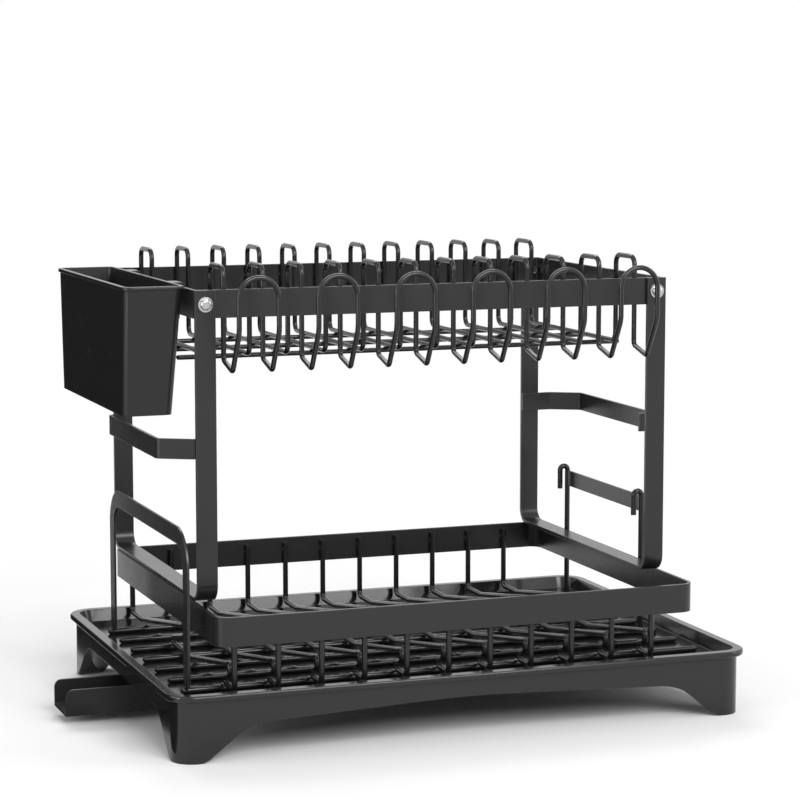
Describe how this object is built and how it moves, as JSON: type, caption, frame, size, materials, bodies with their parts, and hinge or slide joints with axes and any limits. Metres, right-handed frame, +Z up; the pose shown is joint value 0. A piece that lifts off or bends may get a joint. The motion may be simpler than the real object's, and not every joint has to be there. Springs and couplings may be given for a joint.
{
  "type": "dish drying rack",
  "caption": "Two-tier wire dish rack on a legged drip tray, with a swivelling drain spout, plate dividers, glass hoops, board guards and a hanging cutlery caddy.",
  "frame": {"origin": "on the table, under the middle of the overall box", "axes": "+X to the right along the rack's length, +Y to the back, +Z up; the front with the glass hoops faces -Y"},
  "size_m": [0.52, 0.346, 0.3625],
  "materials": {
    "coated_steel": "satin black powder coat",
    "tray_plastic": "satin to gloss black moulding",
    "spout_plastic": "satin black moulding",
    "caddy_plastic": "satin black moulding",
    "bright_steel": "bright plated"
  },
  "bodies": {
    "rack": {"drip_tray": "tray_plastic", "floor_rod_1": "coated_steel", "floor_rod_2": "coated_steel", "floor_rod_3": "coated_steel", "floor_rod_4": "coated_steel", "floor_rod_5": "coated_steel", "floor_rod_6": "coated_steel", "floor_rod_7": "coated_steel", "left_board_bracket": "coated_steel", "left_guard": "coated_steel", "left_side_frame": "coated_steel", "lower_rim": "coated_steel", "lower_wire_01": "coated_steel", "lower_wire_02": "coated_steel", "lower_wire_03": "coated_steel", "lower_wire_04": "coated_steel", "lower_wire_05": "coated_steel", "lower_wire_06": "coated_steel", "lower_wire_07": "coated_steel", "lower_wire_08": "coated_steel", "lower_wire_09": "coated_steel", "lower_wire_10": "coated_steel", "lower_wire_11": "coated_steel", "right_board_bracket": "coated_steel", "right_guard_bar": "coated_steel", "right_guard_hook_1": "coated_steel", "right_guard_hook_2": "coated_steel", "right_side_frame": "coated_steel", "rim_bolts": "bright_steel", "rim_nuts": "bright_steel", "spout_clip": "spout_plastic", "upper_rim": "coated_steel", "upper_rod_1": "coated_steel", "upper_rod_2": "coated_steel", "upper_rod_3": "coated_steel", "upper_wire_1": "coated_steel", "upper_wire_2": "coated_steel", "upper_wire_3": "coated_steel", "upper_wire_4": "coated_steel", "upper_wire_5": "coated_steel", "upper_wire_6": "coated_steel"},
    "spout": {"drain_spout": "spout_plastic"},
    "caddy": {"cutlery_caddy": "caddy_plastic"}
  },
  "joints": [
    {"name": "spout_swivel", "type": "hinge", "parent": "rack", "child": "spout", "pos_m": [-0.128, 0, 0.022], "axis": [0, 0, 1], "range_deg": [-40, 40]},
    {"name": "caddy_slide", "type": "slide", "parent": "rack", "child": "caddy", "axis": [0, 1, 0], "range_m": [-0.03, 0.05]}
  ]
}
